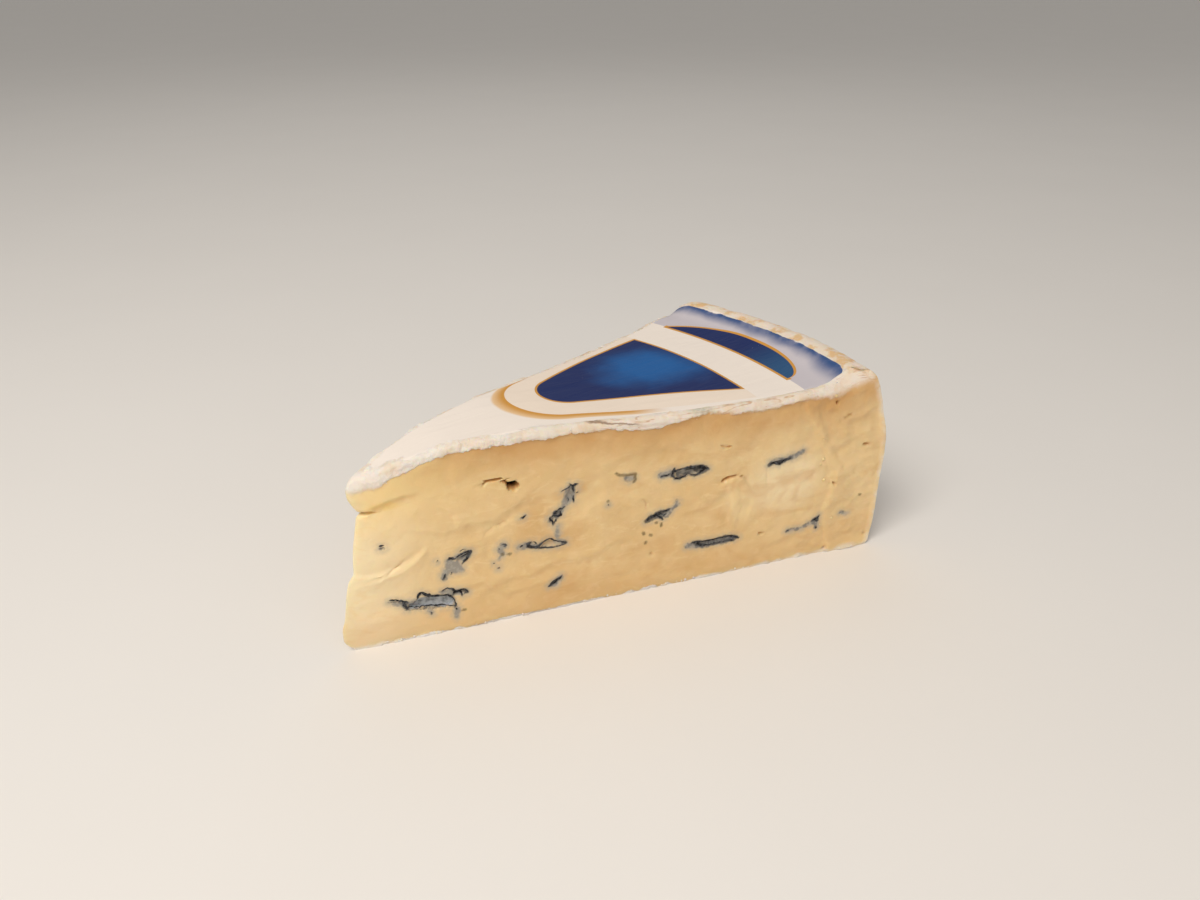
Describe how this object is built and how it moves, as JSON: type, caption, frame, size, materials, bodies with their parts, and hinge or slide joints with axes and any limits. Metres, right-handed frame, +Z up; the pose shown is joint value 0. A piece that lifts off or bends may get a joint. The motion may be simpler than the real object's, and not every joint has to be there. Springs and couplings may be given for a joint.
{
  "type": "blue cheese wedge",
  "caption": "Wedge cut from a soft white-rind blue cheese wheel, with flat base, thin nose, curved rim and a printed paper label on top.",
  "frame": {"origin": "centre of the wedge's footprint box, on the plane it rests on", "axes": "+X runs from the thin nose to the curved rim along the wedge's middle, +Z is up, and the two cut sides face -Y and +Y"},
  "size_m": [0.1276, 0.0692, 0.0463],
  "materials": {
    "cheese": "soft creamy yellow paste with blue-grey mould veins and a matte white bloomy rind on top, rim and base",
    "label": "satin paper film in off-white, with plain fields of blue, navy and gold"
  },
  "bodies": {
    "root": {"cheese": "cheese", "label": "label"}
  },
  "joints": []
}
